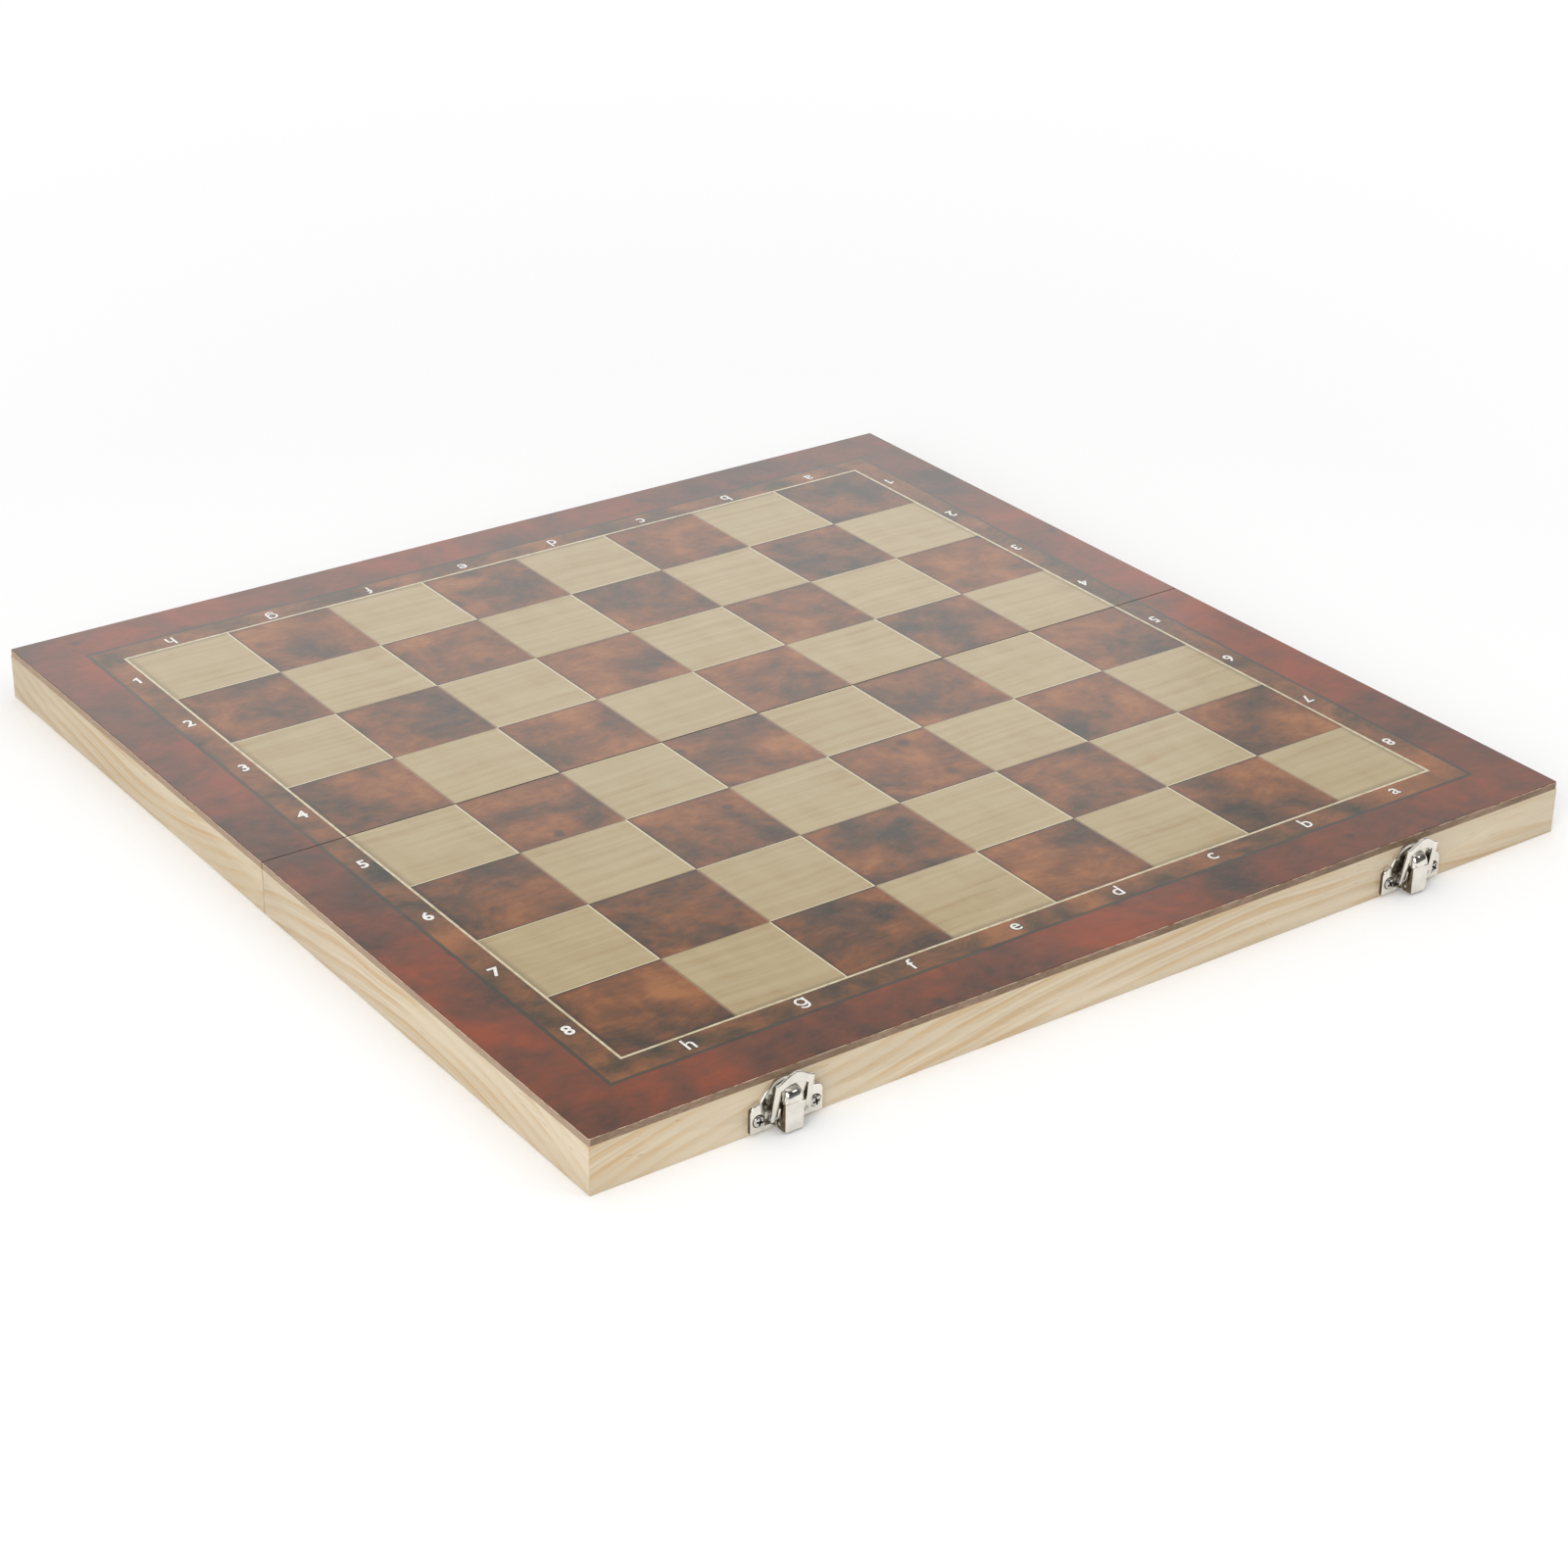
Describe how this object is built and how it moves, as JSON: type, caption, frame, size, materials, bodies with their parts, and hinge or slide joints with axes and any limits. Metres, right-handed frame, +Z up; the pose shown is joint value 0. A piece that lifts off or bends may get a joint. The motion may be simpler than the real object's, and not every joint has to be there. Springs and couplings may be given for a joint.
{
  "type": "folding chessboard",
  "caption": "Square chessboard of hinged shallow wooden trays that lies flat for play and folds into a box for the men, shut by toggle latches on its outer wall.",
  "frame": {"origin": "on the hinge axis at the middle of the fold, in the plane of the rims", "axes": "+X to the right along the fold, +Y away from the latches, +Z up out of the playing surface"},
  "size_m": [0.39, 0.4001, 0.0225],
  "materials": {
    "print": "glossy lacquered print of burl and maple squares",
    "pine": "satin pine",
    "hinge_metal": "bright brass",
    "pin_steel": "drawn steel",
    "screw_steel": "plated steel",
    "nickel": "bright nickel plate"
  },
  "bodies": {
    "front_half": {"front_panel": "print", "front_wall": "pine", "front_left_wall": "pine", "front_right_wall": "pine", "front_fold_wall": "pine", "hinge_left_leaf_front": "hinge_metal", "hinge_right_leaf_front": "hinge_metal", "hinge_screws_front": "screw_steel", "latch_left_base": "nickel", "latch_right_base": "nickel", "latch_left_lever_pin": "pin_steel", "latch_right_lever_pin": "pin_steel", "latch_screws": "screw_steel"},
    "back_half": {"back_panel": "print", "back_wall": "pine", "back_left_wall": "pine", "back_right_wall": "pine", "back_fold_wall": "pine", "hinge_left_leaf_back": "hinge_metal", "hinge_right_leaf_back": "hinge_metal", "hinge_screws_back": "screw_steel", "hinge_left_pin": "pin_steel", "hinge_right_pin": "pin_steel", "catch_left": "nickel", "catch_right": "nickel", "catch_screws": "screw_steel"},
    "lever_left": {"latch_left_lever": "nickel", "latch_left_hoop_pin": "pin_steel"},
    "lever_right": {"latch_right_lever": "nickel", "latch_right_hoop_pin": "pin_steel"},
    "hoop_left": {"latch_left_hoop": "nickel"},
    "hoop_right": {"latch_right_hoop": "nickel"}
  },
  "joints": [
    {"name": "fold", "type": "hinge", "parent": "front_half", "child": "back_half", "pos_m": [0, 0, 0], "axis": [-1, 0, 0], "range_deg": [0, 180]},
    {"name": "lever_left_swing", "type": "hinge", "parent": "front_half", "child": "lever_left", "pos_m": [-0.128, -0.198, 0.0026], "axis": [-1, 0, 0], "range_deg": [-90, 0]},
    {"name": "lever_right_swing", "type": "hinge", "parent": "front_half", "child": "lever_right", "pos_m": [0.1255, -0.198, 0.0026], "axis": [-1, 0, 0], "range_deg": [-90, 0]},
    {"name": "hoop_left_swing", "type": "hinge", "parent": "lever_left", "child": "hoop_left", "pos_m": [-0.128, -0.198, 0.0058], "axis": [1, 0, 0], "range_deg": [0, 172]},
    {"name": "hoop_right_swing", "type": "hinge", "parent": "lever_right", "child": "hoop_right", "pos_m": [0.1255, -0.198, 0.0058], "axis": [1, 0, 0], "range_deg": [0, 172]}
  ]
}
